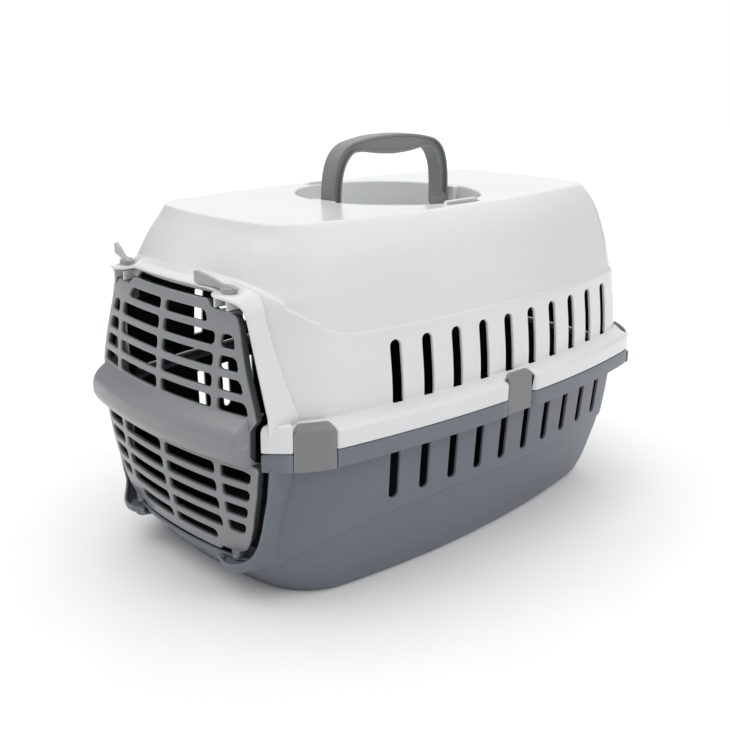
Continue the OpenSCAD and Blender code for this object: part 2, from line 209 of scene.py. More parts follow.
def box_distance(u, v, u0, u1, v0, v1, r):
    """Signed distance to a rectangle with corner radius r."""
    du = np.abs(u - (u0 + u1) / 2) - ((u1 - u0) / 2 - r)
    dv = np.abs(v - (v0 + v1) / 2) - ((v1 - v0) / 2 - r)
    return np.hypot(np.maximum(du, 0), np.maximum(dv, 0)) + np.minimum(np.maximum(du, dv), 0) - r


def both(a, b, r):
    """Overlap of two shapes given by their distances, with its corners rounded."""
    return (np.hypot(np.maximum(a + r, 0), np.maximum(b + r, 0))
            + np.minimum(np.maximum(a + r, b + r), 0) - r)


def fillet(t):
    """How far a unit quarter round stands back at t from its start; 0 past its end."""
    return 1 - np.sqrt(1 - np.clip(1 - t, 0, 1) ** 2)


def circle(r, steps):
    return [(r * math.cos(t), r * math.sin(t))
            for t in np.linspace(0, 2 * math.pi, steps + 1)[:-1]]


def mirrored(side):
    return list(side) + [(-x, z) for x, z in reversed(side)]


def rounded(poly, radii, steps=4):
    """Polygon with each corner replaced by an arc; radii is a number or one per corner."""
    poly = np.asarray(poly, float)
    n = len(poly)
    radii = np.broadcast_to(radii, n)
    out = []
    for i in range(n):
        p, a, b = poly[i], poly[i - 1] - poly[i], poly[(i + 1) % n] - poly[i]
        la, lb = np.linalg.norm(a), np.linalg.norm(b)
        a, b = a / la, b / lb
        half = math.acos(max(-1, min(1, float(a @ b)))) / 2
        if radii[i] <= 0 or half > math.pi / 2 - 0.02:
            out.append(p)
            continue
        cut = min(radii[i] / math.tan(half), 0.49 * la, 0.49 * lb)
        r = cut * math.tan(half)
        c = p + (a + b) / np.linalg.norm(a + b) * (r / math.sin(half))
        v0, v1 = p + a * cut - c, p + b * cut - c
        turn = math.atan2(v0[0] * v1[1] - v0[1] * v1[0], float(v0 @ v1))
        for k in range(steps + 1):
            t = turn * k / steps
            out.append(c + [v0[0] * math.cos(t) - v0[1] * math.sin(t),
                            v0[0] * math.sin(t) + v0[1] * math.cos(t)])
    return np.array(out)


# ---- mesh building
MATS = {}
SHARP = 32.0  # degrees; edges turning by more stay crisp


def make_object(name, verts, faces, materials, face_mat=None, normals=None, sharp=None):
    """Mesh object from points in mm, with given normals or with edges over sharp degrees crisp."""
    me = bpy.data.meshes.new(name)
    me.from_pydata((np.asarray(verts) * MM).tolist(), [], faces)
    for m in materials:
        me.materials.append(MATS[m])
    if face_mat is not None:
        me.polygons.foreach_set("material_index", np.asarray(face_mat, np.int32))
    me.polygons.foreach_set("use_smooth", np.ones(len(me.polygons), bool))
    me.update()
    if normals is not None:
        me.normals_split_custom_set_from_vertices(np.asarray(normals).tolist())
    elif sharp is not None:
        me.set_sharp_from_angle(angle=math.radians(sharp))
    ob = bpy.data.objects.new(name, me)
    bpy.context.scene.collection.objects.link(ob)
    return ob


def place(ob, node):
    """Hand a piece over to the node it stands for: it goes under that node's body, and the node's
    own part is hidden.
    """
    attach(ob, BODY_OF[node])
    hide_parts(node)
    return ob


def unit(v):
    return v / np.maximum(np.linalg.norm(v, axis=-1, keepdims=True), 1e-9)


def grid_normals(P, wrap, flip):
    pad = np.concatenate([P[:, -1:], P, P[:, :1]], axis=1) if wrap else P
    dc = np.gradient(pad, axis=1)
    dc = dc[:, 1:-1] if wrap else dc
    dr = np.gradient(P, axis=0)
    n = unit(np.cross(dc, dr))
    return -n if flip else n


NEIGHBOURS = ((0, 1), (0, -1), (1, 0), (-1, 0), (1, 1), (-1, -1), (1, -1), (-1, 1))


def snap_to_outline(data, f, wrap):
    """Move grid points that lie close to the outline f = 0 onto it. data is their values."""
    R, C = f.shape
    moved, snapped = data.copy(), f.copy()
    best = np.full((R, C), 0.32)
    for di, dj in NEIGHBOURS:
        ii, jj = np.arange(R)[:, None] + di, np.arange(C)[None, :] + dj
        ok = (ii >= 0) & (ii < R) & (wrap | ((jj >= 0) & (jj < C)))
        ii, jj = np.clip(ii, 0, R - 1), jj % C
        g = f[ii, jj]
        lam = np.where(ok & (f * g < 0), f / np.where(f == g, 1, f - g), 9)
        near = lam < best
        w = lam[near][:, None]
        moved[near] = data[near] * (1 - w) + data[ii, jj][near] * w
        best[near] = lam[near]
        snapped[near] = 0
    return moved, snapped


def trim(points, f, f_grid, quads):
    """Faces on the inner side of the outline f = 0. Quads across it are cut, which adds
    points; f_grid is f before the points next to the outline were moved onto it."""
    fq = f[quads]
    whole = (fq.max(1) <= 0) & (fq.min(1) < 0) & ((fq < 0).sum(1) >= 2)
    gone = (fq.min(1) >= 0) & ~whole
    faces = quads[whole].tolist()
    crossing = {}

    def cut_edge(a, b):
        a, b = key = (min(a, b), max(a, b))
        if key not in crossing:
            t = f[a] / (f[a] - f[b])
            crossing[key] = len(points)
            points.append(points[a] * (1 - t) + points[b] * t)
        return crossing[key]

    for a, b, c, d in quads[~whole & ~gone].tolist():
        if f[a] * f[c] >= 0 and not (f[a] > 0 and f[c] > 0):
            triangles = [a, b, c], [a, c, d]
        else:
            triangles = [b, c, d], [b, d, a]
        for tri in triangles:
            at = f[tri]
            if at.max() <= 0:
                if at.min() < 0 or f_grid[tri].mean() < 0:
                    faces.append(tri)
                continue
            if at.min() >= 0:
                continue
            poly = []
            for v, w in zip(tri, tri[1:] + tri[:1]):
                if f[v] <= 0:
                    poly.append(v)
                if f[v] * f[w] < 0:
                    poly.append(cut_edge(v, w))
            if len(poly) >= 3:
                faces.append(poly)
    return faces


def open_edges(faces):
    """Edges that only one face has, in that face's direction."""
    edges = {}
    for face in faces:
        for v, w in zip(face, face[1:] + face[:1]):
            if edges.pop((w, v), None) is None:
                edges[v, w] = True
    return np.array(list(edges), int).reshape(-1, 2)


def sheet(node, name, P, F, thick, r, inner_r, outside=None, inside=None, wrap=False,
          flip=False, pole=False):
    """Moulded sheet of the given thickness from a grid of outer points. It is kept where
    F < 0, and every border is rounded over with radius r outside and inner_r inside. flip
    turns the outer side over; pole says that the first row is one point. outside and inside
    are its materials, or else it gets the node's own."""
    R, C = P.shape[:2]
    N = grid_normals(P, wrap, flip)
    if pole:
        N[0] = unit(N[1].mean(axis=0))
    f = np.full((R, C), -1e3) if F is None else F + r
    data = np.concatenate([P, N, np.broadcast_to(thick, (R, C))[..., None]], axis=-1)
    data, snapped = snap_to_outline(data, f, wrap)
    i, j = np.arange(R - 1)[:, None] * C, np.arange(C if wrap else C - 1)
    a, b = i + j, i + (j + 1) % C
    quads = np.stack([a, b, b + C, a + C], axis=-1).reshape(-1, 4)
    points = list(data.reshape(R * C, -1))
    faces = trim(points, snapped.ravel(), f.ravel(), quads)
    if pole:
        faces = [[0 if v < C else v for v in face] for face in faces]
        faces = [[v for k, v in enumerate(face) if v != face[k - 1]] for face in faces]
        faces = [face for face in faces if len(face) >= 3]
    if flip:
        faces = [face[::-1] for face in faces]
    used = np.unique(np.concatenate(faces))
    remap = np.full(len(points), -1)
    remap[used] = np.arange(len(used))
    faces = [remap[face].tolist() for face in faces]
    front, fn, depth = np.split(np.array([points[v] for v in used]), [3, 6], axis=1)
    fn = unit(fn)
    # the way out of the sheet at every point of its border
    border = open_edges(faces)
    first, last = border.T
    side = np.cross(unit(front[last] - front[first]), fn[first])
    out = np.zeros_like(front)
    np.add.at(out, first, side)
    np.add.at(out, last, side)
    edge = np.unique(border)
    B, BN, BT, BD = front[edge], fn[edge], unit(out)[edge], depth[edge]
    rings = []
    for t in np.radians([30, 60, 90]):
        s, c = math.sin(t), math.cos(t)
        rings.append((B + BT * r * s - BN * r * (1 - c), BN * c + BT * s))
    for t in np.radians([90, 45]):
        s, c = math.sin(t), math.cos(t)
        rings.append((B + BT * (r - inner_r + inner_r * s) - BN * (BD - inner_r * (1 - c)),
                      BT * s - BN * c))
    n, m = len(front), len(edge)
    ids = [edge] + [2 * n + k * m + np.arange(m) for k in range(len(rings))] + [edge + n]
    a, b = np.searchsorted(edge, first), np.searchsorted(edge, last)
    all_faces = faces + [[v + n for v in face[::-1]] for face in faces]
    mat = [0] * len(faces) + [1] * len(faces)
    for k, (lo, hi) in enumerate(zip(ids, ids[1:])):
        all_faces += np.stack([lo[b], lo[a], hi[a], hi[b]], axis=1).tolist()
        mat += [int(k >= 4)] * len(border)
    verts = np.concatenate([front, front - fn * depth] + [p for p, _ in rings])
    normals = np.concatenate([fn, -fn] + [unit(v) for _, v in rings])
    outside = outside or SLOT_OF[node]
    place(make_object(name, verts, all_faces, [outside, inside or outside], mat, normals), node)


def loft(node, name, loops):
    """Closed sections joined one to the next; the first and last are capped."""
    loops = np.asarray(loops, float)
    S, n = loops.shape[:2]
    i = np.arange(n)
    faces = []
    for a in range(0, (S - 1) * n, n):
        b = a + n
        faces += np.stack([a + i, a + (i + 1) % n, b + (i + 1) % n, b + i], axis=1).tolist()
    faces += [list(range(n - 1, -1, -1)), list(range((S - 1) * n, S * n))]
    ob = make_object(name, loops.reshape(-1, 3), faces, [SLOT_OF[node]], sharp=SHARP)
    bm = bmesh.new()
    bm.from_mesh(ob.data)
    bmesh.ops.recalc_face_normals(bm, faces=bm.faces)
    bm.to_mesh(ob.data)
    bm.free()
    return place(ob, node)


def lathe(node, name, profile, x, y, steps, ripple=None):
    """Revolve (radius, z) points about the vertical through x, y."""
    a = np.linspace(0, 2 * math.pi, steps, endpoint=False)[None, :]
    r, z = (profile[:, i][:, None] * np.ones(steps) for i in (0, 1))
    if ripple is not None:
        r = ripple(r, a, z)
    loft(node, name, np.stack([x + r * np.cos(a), y + r * np.sin(a), z], axis=-1))


def round_edges(ob, r, angle=0.7):
    m = ob.modifiers.new("edges", "BEVEL")
    m.width, m.segments, m.limit_method, m.angle_limit = r * MM, 3, "ANGLE", angle


def extrude(node, name, poly, to_world, depth, r):
    """Prism of a plane polygon with its edges rounded. to_world maps (u, v, w) to mm."""
    round_edges(loft(node, name, [[to_world(u, v, w) for u, v in poly] for w in depth]), r)


# ---- materials
class Nodes:
    """Short calls for building a node tree. A value may be a number, a colour or a socket."""

    def __init__(self, tree):
        self.tree = tree

    def feed(self, socket, value):
        if isinstance(value, bpy.types.NodeSocket):
            self.tree.links.new(value, socket)
        else:
            socket.default_value = value

    def add(self, kind, values=None, **settings):
        n = self.tree.nodes.new("ShaderNode" + kind)
        for key, value in settings.items():
            setattr(n, key, value)
        for key, value in (values or {}).items():
            self.feed(n.inputs[key], value)
        return n

    def maths(self, op, a, b=0.0):
        return self.add("Math", {0: a, 1: b}, operation=op).outputs[0]

    def vector(self, op, a, b=(0, 0, 0), out="Vector"):
        return self.add("VectorMath", {0: a, 1: b}, operation=op).outputs[out]

    def step(self, value, low, high):
        return self.add("MapRange", {"Value": value, "From Min": low, "From Max": high},
                        interpolation_type="SMOOTHSTEP").outputs["Result"]

    def mix(self, factor, a, b):
        values = {"Factor": factor, "A": a, "B": b}
        return self.add("Mix", values, data_type="RGBA").outputs["Result"]

    def ramp(self, value, *stops):
        n = self.add("ValToRGB", {"Fac": value})
        for e, (p, c) in zip(n.color_ramp.elements, stops):
            e.position, e.color = p, (*c, 1)
        return n.outputs["Color"]

    def bump(self, height, strength, distance, **more):
        values = {"Height": height, "Strength": strength, "Distance": distance, **more}
        return self.add("Bump", values).outputs["Normal"]


BLACK, WHITE = (0, 0, 0), (1, 1, 1)


def paint_cut_shade(nt, tex, colour, base):
    """Painted shade: the side walls of the grille's cuts, behind its bowed face, are darkened in
    the colour where the real ones lie in shadow.
    """
    out = nt.vector("SUBTRACT", tex.outputs["Object"], BALL * MM)
    facing = nt.vector("DOT_PRODUCT", nt.vector("NORMALIZE", out), tex.outputs["Normal"], "Value")
    turned = nt.step(nt.maths("SUBTRACT", 1.0, nt.maths("ABSOLUTE", facing)), 0.3, 0.8)
    depth = nt.maths("SUBTRACT", BALL_R * MM, nt.vector("LENGTH", out, out="Value"))
    behind = nt.step(depth, 0.0008, 0.0032)
    dark = (*(c * 0.12 for c in colour), 1)
    return nt.mix(nt.maths("MULTIPLY", nt.maths("MULTIPLY", turned, behind), 0.8), base, dark)


def plastic(name, colour, rough, grain, edge, coat=0.0, vary=0.03, wave=0.05, spec=0.5,
            scuffs=0.02, cut_shade=False):
    """Injection-moulded polypropylene: fine eroded grain, slow flow waviness, faint colour and
    sheen variation, lighter rubbed edges and hairline scuffs."""
    m = bpy.data.materials.new(name)
    m.use_nodes = True
    nt = Nodes(m.node_tree)
    tex = nt.add("TexCoord")
    where = tex.outputs["Object"]

    def noise(scale, detail, fading=0.5, at=where):
        return nt.add("TexNoise", {"Scale": scale, "Detail": detail, "Roughness": fading,
                                   "Vector": at}).outputs["Fac"]

    big, flow, fine = noise(11, 3), noise(38, 2), noise(1500, 3, 0.6)
    base = nt.ramp(big, (0.32, [c * (1 - vary) for c in colour]),
                   (0.68, [min(1, c * (1 + vary)) for c in colour]))
    rub = nt.ramp(nt.add("NewGeometry").outputs["Pointiness"], (0.515, BLACK), (0.60, WHITE))
    rubbed = (*(min(1, c * edge) for c in colour), 1)
    base = nt.mix(nt.maths("MULTIPLY", rub, nt.maths("ADD", 0.55, flow)), base, rubbed)
    # painted shade on the walls of the grille's cuts
    if cut_shade:
        base = paint_cut_shade(nt, tex, colour, base)
    sheen = nt.maths("ADD", nt.maths("MULTIPLY", big, rough * 0.3), rough * 0.85)
    if scuffs:
        streak = nt.add("Mapping", {"Vector": where, "Scale": (0.12, 0.12, 1.0)}).outputs["Vector"]
        marks = nt.ramp(noise(420, 4, 0.7, streak), (0.60, BLACK), (0.74, WHITE))
        sheen = nt.maths("ADD", sheen, nt.maths("MULTIPLY", marks, scuffs))
    surface = nt.bump(flow, wave, 0.002, Normal=nt.bump(fine, grain, 0.00012))
    bsdf = m.node_tree.nodes["Principled BSDF"]
    for key, value in (("Base Color", base), ("Roughness", sheen), ("Normal", surface),
                       ("Specular IOR Level", spec), ("Coat Weight", coat),
                       ("Coat Roughness", 0.08)):
        nt.feed(bsdf.inputs[key], value)
    MATS[name] = m


plastic("shell_white", (0.72, 0.735, 0.74), 0.24, 0.04, edge=1.0, coat=0.25, vary=0.012,
        wave=0.0, scuffs=0.0)
plastic("shell_grey", (0.134, 0.151, 0.178), 0.38, 0.35, edge=1.5, vary=0.04)
# door_grille is the door's grey with painted shade on the walls of its cuts
for slot, cut_shade in (("door_grey", False), ("door_grille", True)):
    plastic(slot, (0.225, 0.237, 0.245), 0.25, 0.25, edge=1.45, scuffs=0.0, cut_shade=cut_shade)
plastic("trim_grey", (0.195, 0.203, 0.206), 0.40, 0.45, edge=1.5, wave=0.04)
plastic("lever_grey", (0.34, 0.345, 0.345), 0.42, 0.45, edge=1.3, wave=0.04)
# painted shade: the insides of the shells are near black, where the real white and grey walls lie
# in shadow
plastic("inner_painted_shade", (0.012, 0.013, 0.015), 0.62, 0.3, edge=1.6, vary=0.2, spec=0.25)
plastic("floor_pale", (0.93, 0.93, 0.93), 0.8, 0.05, edge=1.0, vary=0.01, wave=0.0, spec=0.2)


# ---- shared shapes
TAU = columns(3.3)
DOORWAY = mirrored([(86, 36), (93, 52), (99, 70), (106, 99), (109, 121), (109, 163),
                    (98.5, 197), (88.5, 230), (84, 242), (54, 242), (54, 247)])


def doorway_distance(P):
    """Positive outside the doorway, seen from the front."""
    d = polygon_distance(P[..., 0], P[..., 2], DOORWAY)
    return np.where(P[..., 1] < -150, d, FAR)


def slot_hole(y, w, width, low, high, round_top):
    """Distance to the nearest air slot, negative inside it."""
    dy = np.min(np.abs(y[..., None] - SLOT_Y), axis=-1)
    h = width / 2
    if round_top:
        body = np.where(w > high - h, np.hypot(dy, w - (high - h)) - h, dy - h)
        return np.maximum(body, low - w)
    body = np.where(w < low + h, np.hypot(dy, w - (low + h)) - h, dy - h)
    return np.maximum(body, w - high)


def smoothstep(a, b, x):
    t = np.clip((x - a) / (b - a), 0, 1)
    return t * t * (3 - 2 * t)


def rim_recess(x, y, front_depth):
    """How far the rim stands back at the clips; the ends of the rim round in towards them."""
    depths = []
    for clip in CLIPS:
        r, depth = (1.2, front_depth) if "front" in clip[0] else (5.5, CLIP_RECESS)
        depths.append(depth * fillet(from_clip(clip, x, y) / r))
    return np.max(depths, axis=0)


def crease(keys, table):
    """Height of a moulded crease for every column. keys are points on the right half."""
    half = TAU <= 90
    idx = np.arange(int(half.sum()))
    pos = []
    for kx, ky, kz in keys:
        x, y = plan(TAU[half], level(table, kz))
        pos.append(idx[np.argmin(np.hypot(x - kx, y - ky))])
    zs = [key[2] for key in keys]
    z = np.empty(len(TAU))
    z[half] = smooth_curve(pos, zs, idx)
    n = len(idx)
    z[n:] = z[n - 2:0:-1]
    return z


def blend_levels(a, b, f):
    return [x * (1 - f) + y * f for x, y in zip(a, b)]


# ---- upper shell
def build_upper():
    rows, thick, slide = [], [], []

    def add(x, y, z, t, w=FAR):
        rows.append(np.stack([x, y, np.broadcast_to(z, x.shape)], axis=-1))
        thick.append(np.broadcast_to(t, x.shape))
        slide.append(np.broadcast_to(w, x.shape))

    top = level(ROOF, TOP)
    qx, qy = plan(TAU, top, 1.8)
    d = unit(np.stack([qx, qy - HANDLE_Y], axis=-1))

    def ring(radius, z, t):
        add(d[:, 0] * radius, HANDLE_Y + d[:, 1] * radius, z, t)

    for radius in (0, 18, 40, 60, 74, 82):
        ring(radius, WELL_FLOOR, WALL)
    for a in (0.35, 0.75, 1.15, 1.5708):
        ring(WELL_R - 3 + 3 * math.sin(a), WELL_FLOOR + 3 - 3 * math.cos(a), WALL)
    for z in (279, 286, TOP - 2.6):
        ring(WELL_R, z, WALL)
    for a in (0.3, 0.65, 1.0, 1.3, 1.5708):
        ring(WELL_R + 2.2 - 2.2 * math.cos(a), TOP - 2.2 + 2.2 * math.sin(a), 1.9)
    start = np.stack([d[:, 0] * (WELL_R + 2.2), HANDLE_Y + d[:, 1] * (WELL_R + 2.2)], axis=-1)
    end = np.stack([qx, qy], axis=-1)
    for f in (0.06, 0.15, 0.3, 0.45, 0.6, 0.75, 0.88, 0.95, 1.0):
        p = start * (1 - f) + end * f
        add(p[:, 0], p[:, 1], TOP, WALL if f < 0.9 else 1.9)
    for inset, dz in ((1.1, 0.06), (0.45, 0.28), (0.0, 0.62)):
        add(*plan(TAU, top, inset), TOP - dz, 1.9)

    def wall_row(z, proud, t=WALL):
        add(*plan(TAU, level(ROOF, z), -proud), z, t, z)

    zc = crease([(0, -300, 258.6), (38, -201.5, 257.8), (60, -199, 256.6), (72.4, -195.6, 255),
                 (84.2, -192.9, 251.8), (91.7, -189.9, 248.5), (98.4, -186.1, 245),
                 (104.6, -182, 238.8), (109, -176.3, 235.2), (114.2, -166.5, 229.2),
                 (118.5, -155.5, 221.2), (122.5, -138.9, 217), (126, -110, 216), (0, 300, 216)],
                ROOF)
    for u in np.linspace(0, 1, 22) ** 1.12:
        wall_row((TOP - 1.2) * (1 - u) + (zc + 1.5) * u, 0, WALL if u > 0.05 else 2.2)
    for dz, proud in ((0.55, 0.25), (-0.35, 1.2), (-1.3, BEAD)):
        wall_row(zc + dz, proud)
    low = 158.0
    marks = np.array([212, 209.4, 207.8, 206.8, 206, 205.2, 204.2, 202.8, 201.2, 199, 195, 190, 185,
                      180, 175, 170, 166, 162, 159.6, low])
    for mark in marks:
        u = (214.7 - mark) / (214.7 - low)
        wall_row((zc - 1.3) * (1 - u) + low * u, BEAD)
    wall = [a + b * BEAD for a, b in zip(level(ROOF, LEDGE_Z), (-1, 0, -1, -1, 1, 1))]
    full = wall[0]
    rx, ry = plan(TAU, RIM)
    cut = rim_recess(rx, ry, 2.5)
    ledge = [(full, 157.4), (full - 0.25, 156.95), (full - 0.8, 156.65), (full - 2, 156.1),
             (10, 155.3), (8, 154.5), (6.2, 153.7), (4.4, 152.9), (2.8, 152.2), (1.6, 151.6),
             (0.8, 151.05), (0.25, 150.3), (0.0, 149.4), (0, 147), (0, 144), (0, 141),
             (0, 138.4), (0, 137.2)]
    for inset, z in ledge:
        back = cut * smoothstep(7.5, 2.5, inset)
        x, y = plan(TAU, blend_levels(wall, RIM, 1 - inset / full), back)
        # the slots' width is set by how far round the ledge a point lies
        down = (full - inset) * 1.09 if z > 149.5 else full * 1.09 + 150 - z
        add(x, y, z - 0.25 * back * (z > 149), 2.2, LEDGE_Z - down)
    P, T, W = np.array(rows), np.array(thick), np.array(slide)
    hole = np.minimum(doorway_distance(P),
                      np.where((np.abs(P[..., 0]) > 100) & (P[..., 2] > 137),
                               slot_hole(P[..., 1], W, *UPPER_SLOT, True), FAR))
    side = box_distance(np.abs(P[..., 0]), P[..., 1] - HANDLE_Y, 89.5, 94, -22, 22, 1.5)
    hole = np.where(P[..., 2] > TOP - 0.5, np.minimum(hole, side), hole)
    # its inside gets the near-black painted shade
    sheet("upper_shell", "upper_shell_wall", P, -hole, T, 0.9, 0.5, inside="inner_painted_shade",
          wrap=True, flip=True, pole=True)


# ---- lower shell
def build_lower():
    rows = []

    def add(x, y, z):
        rows.append(np.stack([x, y, np.broadcast_to(z, x.shape)], axis=-1))

    foot = level(BASE, 0.0)
    qx, qy = plan(TAU, foot, 12)
    for f in (0, 0.25, 0.5, 0.7, 0.85, 0.95, 1.0):
        add(qx * f, qy * f, 1.6)
    for inset, z in ((11.2, 1.3), (10.6, 0.5), (10, 0.1), (9.2, 0), (5, 0), (2, 0), (1.0, 0.12),
                     (0.35, 0.5), (0.0, 1.0)):
        add(*plan(TAU, foot, inset), z)

    def wall_row(z, proud):
        add(*plan(TAU, level(BASE, z), -proud), z)

    zs = crease([(0, -300, 32.5), (81, -205.3, 32.5), (94, -197.4, 33.6), (100.6, -192.6, 36.8),
                 (106, -186.8, 40.2), (110.8, -180.6, 44.2), (118.4, -166.4, 50.8),
                 (122.5, -148.7, 54.8), (130, -115, 59.5), (136, -70, 62.3), (139, -20, 63),
                 (0, 300, 63)], BASE)
    for u in np.linspace(0, 1, 16):
        wall_row(1.8 * (1 - u) + (zs - 1.2) * u, 0)
    for dz, proud in ((-0.45, 0.25), (0.25, 1.35), (1.0, 1.7)):
        wall_row(zs + dz, proud)
    high = 132.5
    for mark in (67, 70, 71.8, 72.8, 73.6, 74.4, 75.4, 76.6, 78, 80, 84, 89, 94, 99, 104, 109, 114,
                 117, 118.4, 119.6, 121, 125, 129, high):
        u = (mark - 64.0) / (high - 64.0)
        wall_row((zs + 1.0) * (1 - u) + high * u, 1.7)
    P = np.array(rows)
    hole = np.minimum(doorway_distance(P),
                      np.where(np.abs(P[..., 0]) > 100,
                               slot_hole(P[..., 1], P[..., 2], *LOWER_SLOT, False), FAR))
    # its inside gets the near-black painted shade
    sheet("lower_shell", "lower_shell_wall", P, -hole, WALL, 0.9, 0.5, inside="inner_painted_shade",
          wrap=True, pole=True)


def rim_tau(x_edge):
    """tau of the point at x_edge on the front of the rim line."""
    t = np.linspace(-90, 0, 4000)
    return float(np.interp(x_edge, plan(t, RIM)[0], t))


def rim_points(tau, insets, z):
    """Sections of the rim: insets (k,) or (n, k) from the outer face, heights z."""
    wall = level(BASE, RIM_FOOT)
    insets = np.broadcast_to(insets, (len(tau), np.shape(insets)[-1]))
    v = blend_levels(RIM, wall, insets / 16)
    x, y = plan(np.broadcast_to(tau[:, None], insets.shape), v)
    return np.stack([x, y, np.broadcast_to(z, insets.shape)], axis=-1)


def build_lower_rim():
    first = rim_tau(RIM_EDGE)
    t = np.concatenate([[first], TAU[(TAU > first + 0.6) & (TAU < 180 - first - 0.6)],
                        [180 - first]])
    prof = rounded([(0, RIM_FOOT), (0, RIM_SEAM), (17.3, RIM_SEAM), (17.3, 131.8), (3.6, 131.8),
                    (3.6, RIM_FOOT)], [0.9, 0.7, 0, 0, 1.2, 0.9])
    x, y = plan(t, RIM)
    cut = rim_recess(x, y, 2.4)[:, None]
    inner = prof[:, 0][None, :] + np.clip(cut - 1.9, 0, 3) * (prof[:, 0] < 8)[None, :]
    P = rim_points(t, np.where(prof[:, 0] < 2.5, prof[:, 0][None, :] + cut, inner), prof[:, 1])
    # the ends stop at the doorway's edge, clear of the swinging door
    x, front = P[..., 0], P[..., 1] < -150
    P[..., 0] = np.where(front, np.sign(x) * np.maximum(np.abs(x), RIM_EDGE), x)
    loft("lower_shell", "lower_rim", P)


def build_corner_blocks():
    """The thick ends of the rim between the doorway and the front clips."""
    clip = next(c for c in CLIPS if c[0] == "clip_front_right")
    t = np.linspace(rim_tau(BLOCK_EDGE + 0.1), -5, 4000)
    x, y = plan(t, RIM)
    last = float(t[np.argmax(from_clip(clip, x, y) < 0.1)])
    arc = arc_length(x, y)
    length = float(np.interp(last, t, arc))
    # e runs along a block from the doorway's edge
    e = np.array([0, 0.35, 0.9, 1.8, 3, 4.4, 6, length * 0.6 + 2, length - 0.9, length - 0.3,
                  length])
    tau = np.interp(e, arc, t)
    for half, z0, z1, big in (("upper", 136.5, 158.2, 6.0), ("lower", 121.2, 135.2, 1.0)):
        ends = 0.7 * fillet(e) + 0.6 * fillet((length - e) / 0.9)
        drop = big * fillet(e / big)
        base = rounded([(-0.25, z0), (-0.25, z1), (13, z1), (13, z0)],
                       [0.7, 2.4 if big > 2 else 0.8, 0.5, 0.5], steps=5)
        insets = base[:, 0][None, :] + ends[:, None] * (base[:, 0] < 6)[None, :]
        upper = base[:, 1] > (z0 + z1) / 2
        P = rim_points(tau, insets, base[:, 1])
        P[..., 2] += np.where(upper, -drop[:, None] - ends[:, None], ends[:, None])
        P[..., 0] = np.maximum(P[..., 0], BLOCK_EDGE)
        for tag, side in SIDES:
            loft(f"{half}_shell", f"{half}_corner_block_{tag}", P * [side, 1, 1])


